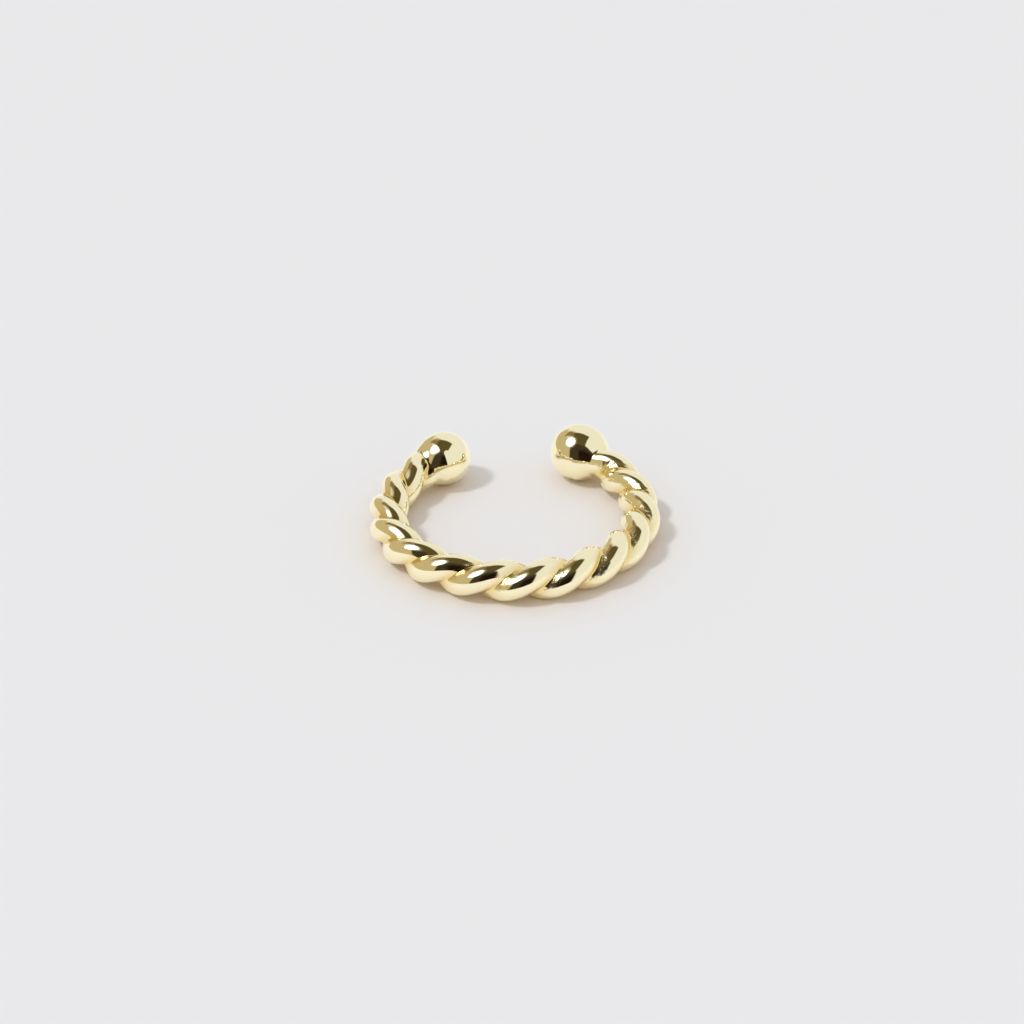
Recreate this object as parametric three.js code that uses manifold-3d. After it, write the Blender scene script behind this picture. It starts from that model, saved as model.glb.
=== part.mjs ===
// An open ear cuff: two strands twisted into a rope and bent into a C, with a ball on each end.
// Millimetres, +Z up. The cuff lies flat: its mouth opens towards +Y and its front faces -Y.
// The origin is at the middle of the footprint, on the surface that the cuff lies on.
import * as THREE from 'three';
import { mergeVertices } from 'three/addons/utils/BufferGeometryUtils.js';
import Module from 'manifold-3d';

const wasm = await Module();
wasm.setup();

// The ring
const RING_RADIUS = 6.1; // to the rope's centre line
const MOUTH = 4.09; // clear gap between the balls
const BEND_START = 90; // degrees from the front, where the ends begin to rise
const LEFT_TUCK = 0.17; // how far the left ball's centre lies inside the ring's circle

// The rope
const ROPE_WIDTH = 1.9; // across both strands
const STRAND_DEPTH = 1.29; // one strand, along the line through both
const STRAND_BREADTH = 1.34; // one strand, square to that line
const STRAND_LEAD = 4.16; // length of rope in which a strand goes once round
const FRONT_TURN = 3.1; // degrees, from straight outwards to the strand at the middle of the front

// The balls
const LEFT_BALL_DIAMETER = 2.69;
const RIGHT_BALL_DIAMETER = 2.85;

// The facets
const POINTS_PER_STRAND = 10;
const SECTIONS_PER_TURN = 22;
const BALL_SIDES = 20;
const BALL_ROWS = 14;

const UP = new THREE.Vector3(0, 0, 1);
const leftRadius = RING_RADIUS - LEFT_TUCK;
const ropeArc = 2 * Math.PI - mouthAngle();
const ropeLength = RING_RADIUS * ropeArc;
const twistPerRadian = (2 * Math.PI * RING_RADIUS) / STRAND_LEAD;

const gold = new THREE.MeshStandardMaterial({
  name: 'gold_plate',
  color: 0xe6c878,
  roughness: 0.12,
  metalness: 1,
});

// The angle between the two ball centres, seen from the ring's centre.
function mouthAngle() {
  const span = MOUTH + (LEFT_BALL_DIAMETER + RIGHT_BALL_DIAMETER) / 2;
  return Math.acos((leftRadius ** 2 + RING_RADIUS ** 2 - span ** 2) / (2 * leftRadius * RING_RADIUS));
}

// How far along its bend an end has come, as 0 at its start and 1 at the ball.
function bendShare(angle) {
  const start = THREE.MathUtils.degToRad(BEND_START);
  const past = Math.max(0, Math.abs(angle) - start);
  return (past / (ropeArc / 2 - start)) ** 2;
}

// The height of a ball's centre above the rope's, so that ball and rope lie on one plane.
function endLift(ballDiameter) {
  return (ballDiameter - ROPE_WIDTH) / 2;
}

// The rope's centre line. The angle is 0 at the front and grows towards +X.
function centreAt(angle) {
  const onLeft = angle < 0;
  const share = bendShare(angle);
  const radius = RING_RADIUS - (onLeft ? LEFT_TUCK * share : 0);
  const lift = endLift(onLeft ? LEFT_BALL_DIAMETER : RIGHT_BALL_DIAMETER) * share;
  return new THREE.Vector3(radius * Math.sin(angle), -radius * Math.cos(angle), lift);
}

function outwardAt(angle) {
  return new THREE.Vector3(Math.sin(angle), -Math.cos(angle), 0);
}

// The rope's section: two ellipses that run into each other, side by side on X.
function ropeSection() {
  const offset = (ROPE_WIDTH - STRAND_DEPTH) / 2;
  const halfArc = Math.acos(-offset / (STRAND_DEPTH / 2));
  const section = new THREE.Shape();
  section.absellipse(offset, 0, STRAND_DEPTH / 2, STRAND_BREADTH / 2, -halfArc, halfArc, false, 0);
  section.absellipse(-offset, 0, STRAND_DEPTH / 2, STRAND_BREADTH / 2,
    Math.PI - halfArc, Math.PI + halfArc, false, 0);
  return section;
}

// Moves a point of the straight rope, which runs along +Z, to its place on the twisted ring.
// This mirrors the rope, so its faces turn inwards.
function twistAndBend(point) {
  const angle = (point.z / ropeLength - 0.5) * ropeArc;
  const turn = THREE.MathUtils.degToRad(FRONT_TURN) + twistPerRadian * angle;
  const outward = point.x * Math.cos(turn) - point.y * Math.sin(turn);
  const upward = point.x * Math.sin(turn) + point.y * Math.cos(turn);
  point.copy(centreAt(angle)
    .addScaledVector(outwardAt(angle), outward)
    .addScaledVector(UP, upward));
}

function ropeGeometry() {
  const geometry = new THREE.ExtrudeGeometry(ropeSection(), {
    depth: ropeLength,
    steps: Math.ceil((SECTIONS_PER_TURN * ropeLength) / STRAND_LEAD),
    curveSegments: POINTS_PER_STRAND / 2,
    bevelEnabled: false,
  });
  const straight = geometry.getAttribute('position');
  const twisted = new THREE.BufferAttribute(new Float32Array(straight.array.length), 3);
  const point = new THREE.Vector3();
  for (let i = 0; i < straight.count; i += 1) {
    point.fromBufferAttribute(straight, i);
    twistAndBend(point);
    // Listed backwards, the corners of each triangle face outwards again.
    twisted.setXYZ(straight.count - 1 - i, point.x, point.y, point.z);
  }
  geometry.setAttribute('position', twisted);
  return geometry;
}

// A ball on the end of the rope at the given angle, with its poles up and down.
function ballGeometry(diameter, angle) {
  const geometry = new THREE.SphereGeometry(diameter / 2, BALL_SIDES, BALL_ROWS);
  geometry.rotateX(Math.PI / 2);
  const centre = centreAt(angle);
  return geometry.translate(centre.x, centre.y, centre.z);
}

function toSolid(geometry) {
  geometry.deleteAttribute('normal');
  geometry.deleteAttribute('uv');
  const merged = mergeVertices(geometry);
  return new wasm.Manifold(new wasm.Mesh({
    numProp: 3,
    vertProperties: merged.getAttribute('position').array,
    triVerts: new Uint32Array(merged.index.array),
  }));
}

function toGeometry(solid) {
  const { vertProperties, triVerts } = solid.getMesh();
  const geometry = new THREE.BufferGeometry();
  geometry.setAttribute('position', new THREE.BufferAttribute(vertProperties, 3));
  geometry.setIndex(new THREE.BufferAttribute(triVerts, 1));
  geometry.computeVertexNormals();
  return geometry;
}

// Puts the middle of the footprint at the origin and the lowest point on the surface.
function standOnOrigin(geometry) {
  geometry.computeBoundingBox();
  const { min, max } = geometry.boundingBox;
  return geometry.translate(-(min.x + max.x) / 2, -(min.y + max.y) / 2, -min.z);
}

function twistedCuff() {
  const solid = toSolid(ropeGeometry())
    .add(toSolid(ballGeometry(LEFT_BALL_DIAMETER, -ropeArc / 2)))
    .add(toSolid(ballGeometry(RIGHT_BALL_DIAMETER, ropeArc / 2)));
  const mesh = new THREE.Mesh(standOnOrigin(toGeometry(solid)), gold);
  mesh.name = 'twisted_cuff';
  return mesh;
}

const earCuff = new THREE.Group();
earCuff.add(twistedCuff());

export default earCuff;
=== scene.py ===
"""The looks of an open ear cuff: two twisted strands bent into a C, with a polished ball on each end.

The cuff is one casting in pale yellow gold plate. Its skin is one grid that is rolled round the rope's
centre line, with its rows square to the line and its columns along the strands.
"""
import math
from collections import namedtuple

import bmesh
import bpy
from bpy.props import FloatProperty, FloatVectorProperty, IntProperty, PointerProperty
from mathutils import Matrix, Vector, noise


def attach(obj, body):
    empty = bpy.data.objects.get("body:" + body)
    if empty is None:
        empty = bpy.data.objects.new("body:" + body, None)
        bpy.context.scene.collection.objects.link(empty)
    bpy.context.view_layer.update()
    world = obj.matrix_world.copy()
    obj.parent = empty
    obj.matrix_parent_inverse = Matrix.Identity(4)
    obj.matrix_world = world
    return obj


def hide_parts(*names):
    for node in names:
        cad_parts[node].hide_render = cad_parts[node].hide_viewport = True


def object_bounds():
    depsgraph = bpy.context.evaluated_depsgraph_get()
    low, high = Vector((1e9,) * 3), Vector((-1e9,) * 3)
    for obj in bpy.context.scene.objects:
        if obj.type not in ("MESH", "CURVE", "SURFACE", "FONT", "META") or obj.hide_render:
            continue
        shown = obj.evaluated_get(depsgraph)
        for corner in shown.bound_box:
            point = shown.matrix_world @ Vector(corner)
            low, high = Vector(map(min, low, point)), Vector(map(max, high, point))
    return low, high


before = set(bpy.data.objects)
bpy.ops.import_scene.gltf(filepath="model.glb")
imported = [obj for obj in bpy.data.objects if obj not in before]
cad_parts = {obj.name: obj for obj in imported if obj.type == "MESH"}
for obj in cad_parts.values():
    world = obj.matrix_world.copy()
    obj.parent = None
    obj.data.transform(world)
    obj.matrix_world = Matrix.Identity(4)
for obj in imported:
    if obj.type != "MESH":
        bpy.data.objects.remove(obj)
CAD_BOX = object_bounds()

bl_info = {
    "name": "Twisted ear cuff",
    "version": (1, 0, 0),
    "blender": (4, 5, 0),
    "location": "View3D > Sidebar > Ear cuff",
    "description": "Models an open twisted ear cuff with ball ends and lights it on a pale floor",
    "category": "Object",
}

CAD_NODE = "twisted_cuff"
BODY = "root"
# The material paints the gold darker and deeper where this share is high: painted shade in the grooves.
GROOVE = "groove"  # the point attribute that says how deep in a groove the skin is
GRAIN = "grain"  # the point attribute that says how much of the cast grain the polish left
MM = 0.001
UP = Vector((0, 0, 1))


# Colours

def linear(hex_colour):
    """The linear colour of an sRGB hex value such as "F2D9A0"."""
    shares = [int(hex_colour[i:i + 2], 16) / 255 for i in (0, 2, 4)]
    return tuple(s / 12.92 if s <= 0.04045 else ((s + 0.055) / 1.055) ** 2.4 for s in shares)


# Settings that a user would change

class CuffSizes(bpy.types.PropertyGroup):
    """The cuff's own sizes."""
    ring_radius: FloatProperty(
        name="Ring radius", description="From the ring's centre to the rope's centre line",
        default=6.1 * MM, min=1 * MM, subtype="DISTANCE", unit="LENGTH")
    mouth: FloatProperty(
        name="Mouth", description="Clear gap between the two balls",
        default=4.09 * MM, min=0.1 * MM, subtype="DISTANCE", unit="LENGTH")
    left_tuck: FloatProperty(
        name="Left tuck", description="How far the left ball's centre lies inside the ring's circle",
        default=0.17 * MM, subtype="DISTANCE", unit="LENGTH")
    bend_start: FloatProperty(
        name="Bend start", description="Angle from the front where the ends begin to rise",
        default=math.radians(90), subtype="ANGLE", unit="ROTATION")
    rope_width: FloatProperty(
        name="Rope width", description="Across both strands",
        default=1.9 * MM, min=0.1 * MM, subtype="DISTANCE", unit="LENGTH")
    strand_depth: FloatProperty(
        name="Strand depth", description="One strand, along the line through both",
        default=1.29 * MM, min=0.1 * MM, subtype="DISTANCE", unit="LENGTH")
    strand_breadth: FloatProperty(
        name="Strand breadth", description="One strand, square to the line through both",
        default=1.34 * MM, min=0.1 * MM, subtype="DISTANCE", unit="LENGTH")
    strand_lead: FloatProperty(
        name="Strand lead", description="Length of rope in which a strand goes once round",
        default=4.16 * MM, min=0.5 * MM, subtype="DISTANCE", unit="LENGTH")
    front_turn: FloatProperty(
        name="Front turn", description="From straight outwards to the strand at the middle of the front",
        default=math.radians(3.1), subtype="ANGLE", unit="ROTATION")
    left_ball: FloatProperty(
        name="Left ball", description="Diameter of the ball on the left end",
        default=2.69 * MM, min=0.1 * MM, subtype="DISTANCE", unit="LENGTH")
    right_ball: FloatProperty(
        name="Right ball", description="Diameter of the ball on the right end",
        default=2.85 * MM, min=0.1 * MM, subtype="DISTANCE", unit="LENGTH")
    ball_fillet: FloatProperty(
        name="Ball fillet", description="How far the skin is rounded where a strand meets its ball",
        default=0.5 * MM, min=0.01 * MM, subtype="DISTANCE", unit="LENGTH")
    climb: FloatProperty(
        name="Climb", description="How much of a ball's height a strand climbs as it runs out on it",
        default=0.6, min=0, max=1, subtype="FACTOR")
    run_out: FloatProperty(
        name="Run out", description="Length of rope before a ball's centre where a strand climbs it",
        default=1.35 * MM, min=0.1 * MM, subtype="DISTANCE", unit="LENGTH")
    left_fade: FloatProperty(
        name="Left fade", description="Length of rope before the left ball's centre where the grooves fade",
        default=2.4 * MM, min=0.1 * MM, subtype="DISTANCE", unit="LENGTH")
    right_fade: FloatProperty(
        name="Right fade", description="The same before the right ball's centre",
        default=5 * MM, min=0.1 * MM, subtype="DISTANCE", unit="LENGTH")
    groove_softness: FloatProperty(
        name="Groove softness", description="Half width of a groove's rounded bottom",
        default=0.03 * MM, min=0.001 * MM, subtype="DISTANCE", unit="LENGTH")
    ripple: FloatProperty(
        name="Polishing ripple", description="How far hand polishing left the skin off its true form",
        default=0.004 * MM, min=0, subtype="DISTANCE", unit="LENGTH")
    ripple_size: FloatProperty(
        name="Ripple size", description="How wide a ripple of the polishing is",
        default=0.9 * MM, min=0.05 * MM, subtype="DISTANCE", unit="LENGTH")
    grain_height: FloatProperty(
        name="Grain height", description="How far the cast grain lies below the polished skin",
        default=0.022 * MM, min=0, subtype="DISTANCE", unit="LENGTH")
    grain_size: FloatProperty(
        name="Grain size", description="How wide a grain of the casting is",
        default=0.17 * MM, min=0.05 * MM, subtype="DISTANCE", unit="LENGTH")
    faces_round: IntProperty(
        name="Faces round", description="Faces round the rope", default=96, min=24, max=96)
    rope_rows: IntProperty(
        name="Rope rows", description="Rows of faces from ball centre to ball centre",
        default=860, min=200, max=880)
    cap_rows: IntProperty(
        name="Cap rows", description="Rows of faces on the free half of each ball",
        default=56, min=8, max=60)


class GoldFinish(bpy.types.PropertyGroup):
    """The plated metal's colours and polish."""
    gold: FloatVectorProperty(
        name="Gold", description="The polished plate", subtype="COLOR", size=3, min=0, max=1,
        default=linear("F8EFCA"))
    # Painted shade: the grooves get this darker, deeper gold in place of the shade that falls in them.
    groove_shade_gold: FloatVectorProperty(
        name="Groove gold", description="The plate in the grooves, where dirt and lacquer stay",
        subtype="COLOR", size=3, min=0, max=1, default=linear("EFD99C"))
    polish: FloatProperty(
        name="Polish", description="Roughness of the polished skin", default=0.07, min=0, max=1)
    grain_roughness: FloatProperty(
        name="Grain roughness", description="Roughness where the cast grain shows",
        default=0.2, min=0, max=1)
    pit_size: FloatProperty(
        name="Pit size", description="Width of the fine pits between the grains",
        default=0.07 * MM, min=0.01 * MM, subtype="DISTANCE", unit="LENGTH")
    pit_depth: FloatProperty(
        name="Pit depth", description="Depth of the fine pits between the grains",
        default=0.01 * MM, min=0, subtype="DISTANCE", unit="LENGTH")


class CuffStage(bpy.types.PropertyGroup):
    """The floor, the light and the camera."""
    floor: FloatVectorProperty(
        name="Floor", description="Matt white board", subtype="COLOR", size=3, min=0, max=1,
        default=linear("E6E6E7"))
    fill: FloatVectorProperty(
        name="Fill", description="The even light of the room on the floor", subtype="COLOR", size=3,
        min=0, max=1, default=linear("E1E1E2"))
    tent: FloatVectorProperty(
        name="Tent", description="The white light tent that the cuff mirrors", subtype="COLOR", size=3,
        min=0, max=1, default=linear("F4F4F3"))
    mirrored_fill: FloatVectorProperty(
        name="Mirrored fill", description="The same on the floor beside the cuff, as the gold mirrors it",
        subtype="COLOR", size=3, min=0, max=1, default=linear("FFFFFF"))
    gleam: FloatVectorProperty(
        name="Gleam", description="The warm light that the gold throws on the floor beside it",
        subtype="COLOR", size=3, min=0, max=1, default=linear("FFD67E"))
    key_strength: FloatProperty(
        name="Key strength", description="The key lamp's light on a surface that faces it",
        default=1.05, min=0)
    key_width: FloatProperty(
        name="Key width", description="How wide the key lamp looks from the cuff",
        default=math.radians(9), subtype="ANGLE", unit="ROTATION")
    ring_centre: FloatVectorProperty(
        name="Ring centre", description="Where the camera looks, set when the cuff is modelled",
        default=(0, 0.3 * MM, 0.95 * MM), subtype="TRANSLATION", unit="LENGTH", size=3)
    camera_elevation: FloatProperty(
        name="Camera elevation", description="Above the floor, seen from the ring's centre",
        default=math.radians(30.56), subtype="ANGLE", unit="ROTATION")
    camera_azimuth: FloatProperty(
        name="Camera azimuth", description="From straight in front, towards the right",
        default=math.radians(-1.9), subtype="ANGLE", unit="ROTATION")
    camera_roll: FloatProperty(
        name="Camera roll", description="How far the picture is turned, against the clock",
        default=math.radians(0.57), subtype="ANGLE", unit="ROTATION")
    camera_distance: FloatProperty(
        name="Camera distance", description="From the ring's centre",
        default=82.8 * MM, subtype="DISTANCE", unit="LENGTH")
    camera_aside: FloatProperty(
        name="Camera aside", description="How far left of the ring's centre the camera aims",
        default=0.118 * MM, subtype="DISTANCE", unit="LENGTH")
    camera_lens: FloatProperty(
        name="Lens", description="Focal length in millimetres on a 36 mm sensor", default=60.26, min=10)


# The form of the cuff

CLIMB_PACE = 1.2  # how much faster than over its whole run-out a strand climbs its ball
SUNK_SHARE = 0.65  # what a strand keeps of its reach at a ball's centre, well inside the ball
# The groove's colour is painted shade: a darker, deeper gold in place of the shade in the grooves.
GROOVE_SHARE = 0.75  # how far out from a groove's bottom its colour goes, as a share of the way to the ridge
LEFT_GRAIN = 0.25  # how much of the cast grain is left on the left of the cuff
LOWER_GRAIN = 0.5  # how much of it is left on the lower flank of a strand
GRAIN_LEVEL = 0.3  # above 0, more than half of the grained flank has grains
POLE_SLACK = 1e-6  # share of a ball's radius that counts as its pole, so that rounding leaves no hole there


class CuffForm:
    """Works out where the cuff's skin is, in the ring's own frame, from the sizes."""

    def __init__(self, sizes):
        self.sizes = sizes
        self.left_radius = sizes.ring_radius - sizes.left_tuck
        self.arc = 2 * math.pi - self.mouth_angle()
        self.length = sizes.ring_radius * self.arc
        self.twist = 2 * math.pi * sizes.ring_radius / sizes.strand_lead
        self.strand_offset = (sizes.rope_width - sizes.strand_depth) / 2
        self.softness = 2 * sizes.groove_softness / sizes.strand_breadth
        self.ridge, self.valley = self.strand_reach(0), self.strand_reach(math.pi / 2)

    def mouth_angle(self):
        """The angle between the two ball centres, seen from the ring's centre."""
        s = self.sizes
        span = s.mouth + (s.left_ball + s.right_ball) / 2
        near, far = self.left_radius, s.ring_radius
        return math.acos((near ** 2 + far ** 2 - span ** 2) / (2 * near * far))

    def ball_radius(self, angle):
        return (self.sizes.left_ball if angle < 0 else self.sizes.right_ball) / 2

    def centre_at(self, angle):
        """The rope's centre line. The angle is 0 at the front and grows towards +X."""
        s = self.sizes
        past = max(0.0, abs(angle) - s.bend_start)
        share = (past / (self.arc / 2 - s.bend_start)) ** 2
        radius = s.ring_radius - (s.left_tuck * share if angle < 0 else 0)
        lift = (self.ball_radius(angle) - s.rope_width / 2) * share
        return Vector((radius * math.sin(angle), -radius * math.cos(angle), lift))

    def axes_at(self, angle):
        """The centre line's own directions: outwards, upwards and along."""
        step = 0.001
        along = (self.centre_at(angle + step) - self.centre_at(angle - step)).normalized()
        upwards = (UP - along * UP.dot(along)).normalized()
        return along.cross(upwards), upwards, along

    def strand_reach(self, turn):
        """From the rope's centre line to its skin, at a turn from the middle of a strand."""
        s = self.sizes
        deep, broad = s.strand_depth / 2, s.strand_breadth / 2
        along = math.hypot(math.cos(turn), self.softness)
        across = math.sin(turn)
        square = (along / deep) ** 2 + (across / broad) ** 2
        half = self.strand_offset * along / deep ** 2
        rest = (self.strand_offset / deep) ** 2 - 1
        return (half + math.sqrt(half * half - square * rest)) / square

    def rope_reach(self, turn, angle, to_ball):
        """The same with grooves that fade towards a ball, and strands that climb it and sink into it."""
        s = self.sizes
        soft_valley = (self.ridge + self.valley) / 2
        soft = (self.ridge + soft_valley + (self.ridge - soft_valley) * math.cos(2 * turn)) / 2
        fade = smooth_step(1 - to_ball / (s.left_fade if angle < 0 else s.right_fade))
        taller = self.ball_radius(angle) / self.ridge - 1
        climb = 1 + s.climb * taller * smooth_step(CLIMB_PACE * (1 - to_ball / s.run_out))
        sink = SUNK_SHARE + (1 - SUNK_SHARE) * smooth_step(2 * to_ball / s.run_out)
        return (self.strand_reach(turn) * (1 - fade) + soft * fade) * climb * sink

    def grain_share(self, turn, angle):
        """How much cast grain is left: most on the upper flank of each strand, and little at the left."""
        flank = math.degrees((turn + math.pi / 2) % math.pi - math.pi / 2)
        upper = rise(flank, 38, 68)
        lower = LOWER_GRAIN * rise(-flank, 62, 82)
        above_bottom = rise(90 - abs(flank), 0, 14)
        from_left = LEFT_GRAIN + (1 - LEFT_GRAIN) * rise(angle, -0.7, -0.3)
        return max(upper, lower) * above_bottom * from_left

    def skin_point(self, distance, turn):
        """The skin at a distance along the centre line from the front, with its groove and grain shares.
        Beyond a ball's centre there is the ball alone."""
        s = self.sizes
        end = self.arc / 2
        angle = max(-end, min(end, distance / s.ring_radius))
        outwards, upwards, along = self.axes_at(angle)
        start = self.centre_at(angle) + along * (distance - angle * s.ring_radius)
        ball_centre = self.centre_at(math.copysign(end, angle))
        ball_radius = self.ball_radius(angle)
        spin = turn + s.front_turn + self.twist * angle
        ray = outwards * math.cos(spin) + upwards * math.sin(spin)
        reach = ball = ball_reach(start - ball_centre, ray, ball_radius)
        on_rope = 0.0
        to_ball = self.length / 2 - abs(distance)
        if to_ball > 0:
            rope = self.rope_reach(turn, angle, to_ball)
            reach = larger_with_fillet(rope, ball, s.ball_fillet)
            on_rope = smooth_step((rope - ball) / s.ball_fillet)
        # This share is where the material paints the grooves a darker gold as painted shade.
        groove = on_rope * (1 - smooth_step(abs(math.cos(turn)) / GROOVE_SHARE))
        grain = on_rope * self.grain_share(turn, angle)
        point = start + ray * reach
        off_pole = smooth_step(reach / s.ripple_size)
        worn = (0.5 + 0.5 * noise.noise(point / s.ripple_size)) * s.ripple * off_pole
        worn += max(0.0, GRAIN_LEVEL + noise.noise(point / s.grain_size)) * s.grain_height * grain
        return point - ray * worn, groove, grain

    def row_distance(self, row):
        """How far along the centre line from the front a row of the grid lies."""
        s = self.sizes
        if row < s.cap_rows:
            swing = (1 - row / s.cap_rows) * math.pi / 2
            return -self.length / 2 - s.left_ball / 2 * math.sin(swing)
        row -= s.cap_rows
        if row <= s.rope_rows:
            return (row / s.rope_rows - 0.5) * self.length
        swing = (row - s.rope_rows) / s.cap_rows * math.pi / 2
        return self.length / 2 + s.right_ball / 2 * math.sin(swing)


def smooth_step(share):
    share = max(0.0, min(1.0, share))
    return share * share * (3 - 2 * share)


def rise(value, start, full):
    """0 up to the start and 1 from where it is full, with a smooth rise between."""
    return smooth_step((value - start) / (full - start))


def larger_with_fillet(a, b, fillet):
    """The larger of two reaches, rounded where they cross."""
    near = max(fillet - abs(a - b), 0) / fillet
    return max(a, b) + near * near * fillet / 4


def ball_reach(start, ray, radius):
    """From a point inside a ball around zero to the ball's skin along a ray, or 0 from outside."""
    if start.length >= radius * (1 - POLE_SLACK):
        return 0.0
    ahead = start.dot(ray)
    return math.sqrt(ahead * ahead - start.length_squared + radius * radius) - ahead


def crowded_turn(share):
    """A turn from a share of the way round, with the columns closer together near the grooves."""
    crowding = 0.25
    return 2 * math.pi * share + crowding * math.sin(4 * math.pi * share)


def roll_skin(sizes):
    """A grid rolled round the centre line and closed at its seam and its two ends."""
    form = CuffForm(sizes)
    rows = sizes.rope_rows + 2 * sizes.cap_rows
    skin = bmesh.new()
    groove_shade_layer = skin.verts.layers.float.new(GROOVE)
    grain_layer = skin.verts.layers.float.new(GRAIN)
    bmesh.ops.create_grid(skin, x_segments=sizes.faces_round, y_segments=rows, size=0.5)
    for corner in skin.verts:
        row = round((corner.co.y + 0.5) * rows)
        turn = crowded_turn(corner.co.x + 0.5)
        corner.co, corner[groove_shade_layer], corner[grain_layer] = form.skin_point(form.row_distance(row), turn)
    bmesh.ops.remove_doubles(skin, verts=skin.verts, dist=sizes.ring_radius * 1e-5)
    bmesh.ops.recalc_face_normals(skin, faces=skin.faces)
    return skin


def put_in_frame(skin):
    """Stands the skin where the frame's box stands, and returns the ring's centre there."""
    corners = [v.co for v in skin.verts]
    low, high = (Vector([pick(c[i] for c in corners) for i in range(3)]) for pick in (min, max))
    offset = (CAD_BOX[0] + CAD_BOX[1] - low - high) / 2
    offset.z = CAD_BOX[0].z - low.z
    bmesh.ops.translate(skin, verts=skin.verts, vec=offset)
    return offset


def finish_piece(skin, name):
    """Makes a smooth object of a bmesh."""
    mesh = bpy.data.meshes.new(name)
    skin.to_mesh(mesh)
    skin.free()
    mesh.shade_smooth()
    piece = bpy.data.objects.new(name, mesh)
    bpy.context.scene.collection.objects.link(piece)
    return piece


# Materials

def socket(node, name):
    """The input with this number, or the one in use that has this name: some nodes hide others."""
    if isinstance(name, int):
        return node.inputs[name]
    return next(s for s in node.inputs if s.name == name and s.enabled)


def result(node):
    return next(s for s in node.outputs if s.enabled)


def add(tree, kind, inputs, **settings):
    """Adds a node with its settings. Each of its inputs is given a value or a socket to link from."""
    node = tree.nodes.new(kind)
    for name, value in settings.items():
        setattr(node, name, value)
    for name, value in inputs.items():
        if isinstance(value, bpy.types.NodeSocket):
            tree.links.new(value, socket(node, name))
        else:
            socket(node, name).default_value = value
    return node


def new_material(name):
    material = bpy.data.materials.new(name)
    material.use_nodes = True
    material.node_tree.nodes.clear()
    return material, material.node_tree


def gold_plate(finish):
    """Pale yellow gold plated over polished brass: mirror bright, with a soft haze and a few cast grains
    that glint in the grooves, where the polishing mop does not reach. The grooves are painted a darker,
    deeper gold as painted shade."""
    material, tree = new_material("polished_gold_plate")
    place = add(tree, "ShaderNodeTexCoord", {}).outputs["Object"]
    groove = add(tree, "ShaderNodeAttribute", {}, attribute_name=GROOVE).outputs["Fac"]
    grain_share = add(tree, "ShaderNodeAttribute", {}, attribute_name=GRAIN).outputs["Fac"]
    # Painted shade: the gold turns darker and deeper towards each groove's bottom.
    colour = add(tree, "ShaderNodeMix", {
        "Factor": groove, "A": (*finish.gold, 1), "B": (*finish.groove_shade_gold, 1)}, data_type="RGBA")
    haze = add(tree, "ShaderNodeTexNoise", {
        "Vector": place, "Scale": 1 / (0.5 * MM), "Detail": 4.0, "Roughness": 0.6})
    polish = add(tree, "ShaderNodeMapRange", {
        "Value": result(haze), "From Min": 0.3, "From Max": 0.7,
        "To Min": finish.polish * 0.8, "To Max": finish.polish * 1.3})
    roughness = add(tree, "ShaderNodeMix", {
        "Factor": grain_share, "A": result(polish), "B": finish.grain_roughness})
    pits = add(tree, "ShaderNodeTexNoise", {
        "Vector": place, "Scale": 1 / finish.pit_size, "Detail": 1.0, "Roughness": 0.5})
    pit_bump = add(tree, "ShaderNodeBump", {
        "Strength": grain_share, "Distance": finish.pit_depth, "Height": result(pits)})
    skin = add(tree, "ShaderNodeBsdfPrincipled", {
        "Base Color": result(colour), "Metallic": 1.0, "Roughness": result(roughness),
        "Normal": result(pit_bump)})
    add(tree, "ShaderNodeOutputMaterial", {"Surface": result(skin)})
    return material


def matt_board(stage):
    """White matt board under the cuff, with a faint unevenness of its paper face."""
    material, tree = new_material("matt_white_board")
    place = add(tree, "ShaderNodeTexCoord", {}).outputs["Object"]
    pulp = add(tree, "ShaderNodeTexNoise", {
        "Vector": place, "Scale": 1 / (0.5 * MM), "Detail": 4.0, "Roughness": 0.6})
    bump = add(tree, "ShaderNodeBump", {
        "Strength": 0.3, "Distance": 0.01 * MM, "Height": result(pulp)})
    board = add(tree, "ShaderNodeBsdfPrincipled", {
        "Base Color": (*stage.floor, 1), "Roughness": 0.9, "Normal": result(bump)})
    add(tree, "ShaderNodeOutputMaterial", {"Surface": result(board)})
    return material


# Stage

def towards(azimuth, elevation):
    """The direction at an azimuth, from the front towards the right, and an elevation, in degrees."""
    a, e = math.radians(azimuth), math.radians(elevation)
    return Vector((math.sin(a) * math.cos(e), -math.cos(a) * math.cos(e), math.sin(e)))


# What the polished skin mirrors of the tent apart from its white: the grey side wall and its dark corner,
# the open top, and the dark front with the room behind it. Each is a card that faces the cuff, with the
# azimuth and elevation of its middle, its turn against the clock, half its width and height and its soft
# rim, all in degrees as they look from the cuff.
TentCard = namedtuple("TentCard", "azimuth elevation turn half_width half_height rim colour")
TENT_CARDS = (
    TentCard(-98, 14, 0, 60, 34, 7, linear("C9BA96")),
    TentCard(-141, 54, 0, 11, 17, 9, linear("8C784C")),
    TentCard(6, 82, -26, 25, 30, 4, linear("5C5230")),
    TentCard(-9, 22, 0, 35, 38, 4, linear("40382A")),
    TentCard(6, 14, 0, 21, 28, 16, linear("1E1208")),
)
# The lamp's grey cloth and its white middle, which is brighter than white: where each begins to fade and
# where it ends, in degrees from the lamp's middle.
LampDisc = namedtuple("LampDisc", "inner outer colour light")
LAMP_DISCS = (
    LampDisc(12, 28, linear("B6BEC0"), 1),
    LampDisc(6, 21, linear("FFFFFF"), 5),
)
KEY_DIRECTION = towards(-74, 55)


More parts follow.
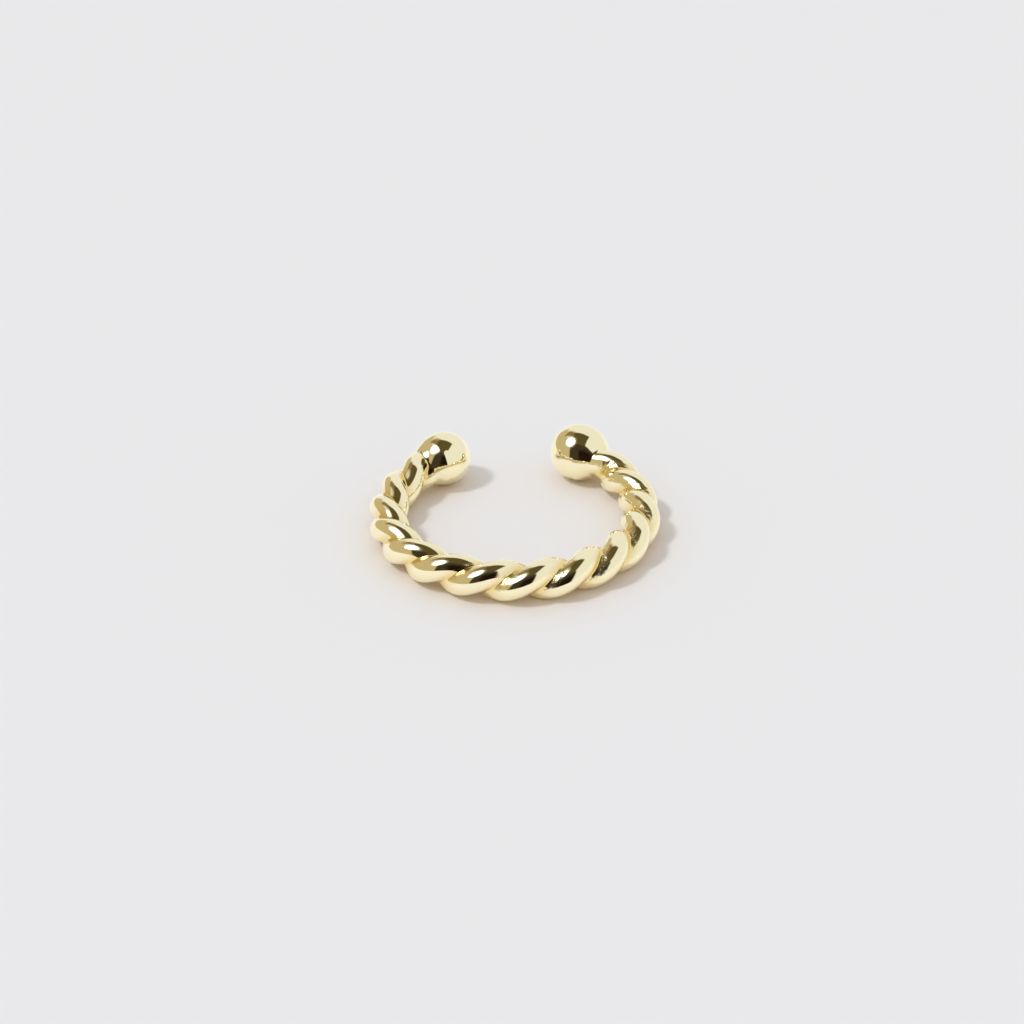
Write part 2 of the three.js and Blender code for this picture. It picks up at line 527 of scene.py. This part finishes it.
def across_card(tree, ray, ahead, aside, half, rim):
    """1 on a card and 0 beside it, along the card's one side, with a soft rim."""
    offset = add(tree, "ShaderNodeVectorMath", {0: ray, 1: aside}, operation="DOT_PRODUCT").outputs["Value"]
    slope = add(tree, "ShaderNodeMath", {0: offset, 1: ahead}, operation="DIVIDE")
    away = add(tree, "ShaderNodeMath", {0: result(slope)}, operation="ABSOLUTE")
    return result(add(tree, "ShaderNodeMapRange", {
        "Value": result(away), "From Min": math.tan(math.radians(half - rim / 2)),
        "From Max": math.tan(math.radians(half + rim / 2)), "To Min": 1.0, "To Max": 0.0},
        interpolation_type="SMOOTHSTEP"))


def on_card(tree, ray, card):
    """How much of a card's colour is seen along a ray."""
    middle = towards(card.azimuth, card.elevation)
    turned = Matrix.Rotation(math.radians(card.turn), 3, middle)
    right = turned @ UP.cross(middle).normalized()
    ahead = add(tree, "ShaderNodeVectorMath", {0: ray, 1: middle}, operation="DOT_PRODUCT").outputs["Value"]
    before = add(tree, "ShaderNodeMath", {0: ahead, 1: 0.0}, operation="GREATER_THAN")
    wide = across_card(tree, ray, ahead, right, card.half_width, card.rim)
    high = across_card(tree, ray, ahead, middle.cross(right), card.half_height, card.rim)
    face = add(tree, "ShaderNodeMath", {0: wide, 1: high}, operation="MULTIPLY")
    return result(add(tree, "ShaderNodeMath", {0: result(face), 1: result(before)}, operation="MULTIPLY"))


def on_disc(tree, ray, disc):
    """How much of a lamp disc's colour is seen along a ray."""
    ahead = add(tree, "ShaderNodeVectorMath", {0: ray, 1: KEY_DIRECTION}, operation="DOT_PRODUCT")
    return result(add(tree, "ShaderNodeMapRange", {
        "Value": ahead.outputs["Value"], "From Min": math.cos(math.radians(disc.outer)),
        "From Max": math.cos(math.radians(disc.inner)), "To Min": 0.0, "To Max": 1.0},
        interpolation_type="SMOOTHSTEP"))


def blend(tree, share, under, over):
    """The lower colour where the share is 0, and the upper one where it is 1."""
    return result(add(tree, "ShaderNodeMix", {"Factor": share, "A": under, "B": over}, data_type="RGBA"))


def hang_tent(stage):
    """The world's light. The polished skin mirrors the tent with its cards and its lamp. The floor gets an
    even fill, a fuller one where the gold mirrors it, and the gleam for what comes by way of the gold."""
    world = bpy.data.worlds.new("light_tent")
    world.use_nodes = True
    tree = world.node_tree
    tree.nodes.clear()
    ray = add(tree, "ShaderNodeTexCoord", {}).outputs["Generated"]
    tent = (*stage.tent, 1)
    for card in TENT_CARDS:
        tent = blend(tree, on_card(tree, ray, card), tent, (*card.colour, 1))
    for disc in LAMP_DISCS:
        tent = blend(tree, on_disc(tree, ray, disc), tent, (*(disc.light * c for c in disc.colour), 1))
    path = add(tree, "ShaderNodeLightPath", {}).outputs
    by_way_of_floor = add(tree, "ShaderNodeMath", {0: path["Diffuse Depth"], 1: path["Is Diffuse Ray"]},
                          operation="GREATER_THAN")
    by_way_of_gold = add(tree, "ShaderNodeMath", {0: path["Glossy Depth"], 1: 0.5}, operation="GREATER_THAN")
    fill = blend(tree, result(by_way_of_gold), (*stage.fill, 1), (*stage.mirrored_fill, 1))
    seen = blend(tree, path["Is Glossy Ray"], fill, tent)
    seen = blend(tree, result(by_way_of_floor), seen, (*stage.gleam, 1))
    light = add(tree, "ShaderNodeBackground", {"Color": seen, "Strength": 1.0})
    add(tree, "ShaderNodeOutputWorld", {"Surface": result(light)})
    bpy.context.scene.world = world


def hang_key(stage):
    """One round key lamp, high at the front left."""
    lamp = bpy.data.lights.new("key_lamp", "SUN")
    lamp.energy = stage.key_strength
    lamp.angle = stage.key_width
    key = bpy.data.objects.new("key_lamp", lamp)
    key.rotation_euler = KEY_DIRECTION.to_track_quat("Z", "Y").to_euler()
    bpy.context.scene.collection.objects.link(key)


def lay_floor(stage):
    floor = bmesh.new()
    bmesh.ops.create_circle(floor, cap_ends=True, segments=96, radius=900 * MM)
    piece = finish_piece(floor, "floor")
    piece.data.materials.append(matt_board(stage))


def set_camera(stage):
    """Looks at the ring's centre from the front, above the floor."""
    back = towards(math.degrees(stage.camera_azimuth), math.degrees(stage.camera_elevation))
    level = UP.cross(back).normalized()
    upright = back.cross(level)
    turn = stage.camera_roll
    right = level * math.cos(turn) - upright * math.sin(turn)
    up = upright * math.cos(turn) + level * math.sin(turn)
    lens = bpy.data.cameras.new("camera")
    lens.sensor_width = 36
    lens.lens = stage.camera_lens
    lens.clip_start = 1 * MM
    lens.clip_end = 5
    camera = bpy.data.objects.new("camera", lens)
    place = stage.ring_centre + back * stage.camera_distance - right * stage.camera_aside
    axes = Matrix((right, up, back)).transposed()
    camera.matrix_world = Matrix.LocRotScale(place, axes.to_quaternion(), None)
    bpy.context.scene.collection.objects.link(camera)
    bpy.context.scene.camera = camera


# Operators and panel

class CUFF_OT_model(bpy.types.Operator):
    """Models the twisted cuff with its two balls as one smooth skin of plated gold"""
    bl_idname = "cuff.model"
    bl_label = "Model the cuff"

    def execute(self, context):
        skin = roll_skin(context.scene.cuff_sizes)
        context.scene.cuff_stage.ring_centre = put_in_frame(skin)
        cuff = finish_piece(skin, "gold_twisted_cuff")
        cuff.data.materials.append(gold_plate(context.scene.gold_finish))
        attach(cuff, BODY)
        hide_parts(CAD_NODE)
        return {"FINISHED"}


class CUFF_OT_stage(bpy.types.Operator):
    """Lays the floor, hangs the light and sets the camera"""
    bl_idname = "cuff.stage"
    bl_label = "Set the stage"

    def execute(self, context):
        stage = context.scene.cuff_stage
        lay_floor(stage)
        hang_tent(stage)
        hang_key(stage)
        set_camera(stage)
        context.scene.view_settings.view_transform = "Standard"
        return {"FINISHED"}


class CUFF_PT_sidebar(bpy.types.Panel):
    """The cuff's steps and settings"""
    bl_idname = "CUFF_PT_sidebar"
    bl_label = "Ear cuff"
    bl_space_type = "VIEW_3D"
    bl_region_type = "UI"
    bl_category = "Ear cuff"

    def draw(self, context):
        for operator, group in STEPS:
            box = self.layout.box()
            box.operator(operator.bl_idname)
            for settings in group:
                values = getattr(context.scene, settings)
                for name in values.bl_rna.properties.keys():
                    if name not in ("rna_type", "name"):
                        box.prop(values, name)


GROUPS = {"cuff_sizes": CuffSizes, "gold_finish": GoldFinish, "cuff_stage": CuffStage}
STEPS = ((CUFF_OT_model, ("cuff_sizes", "gold_finish")), (CUFF_OT_stage, ("cuff_stage",)))
CLASSES = (*GROUPS.values(), CUFF_OT_model, CUFF_OT_stage, CUFF_PT_sidebar)


def register():
    for cls in CLASSES:
        bpy.utils.register_class(cls)
    for name, group in GROUPS.items():
        setattr(bpy.types.Scene, name, PointerProperty(type=group))


def unregister():
    for name in GROUPS:
        delattr(bpy.types.Scene, name)
    for cls in reversed(CLASSES):
        bpy.utils.unregister_class(cls)


def main():
    register()
    bpy.ops.cuff.model()
    bpy.ops.cuff.stage()


if __name__ == "__main__":
    main()
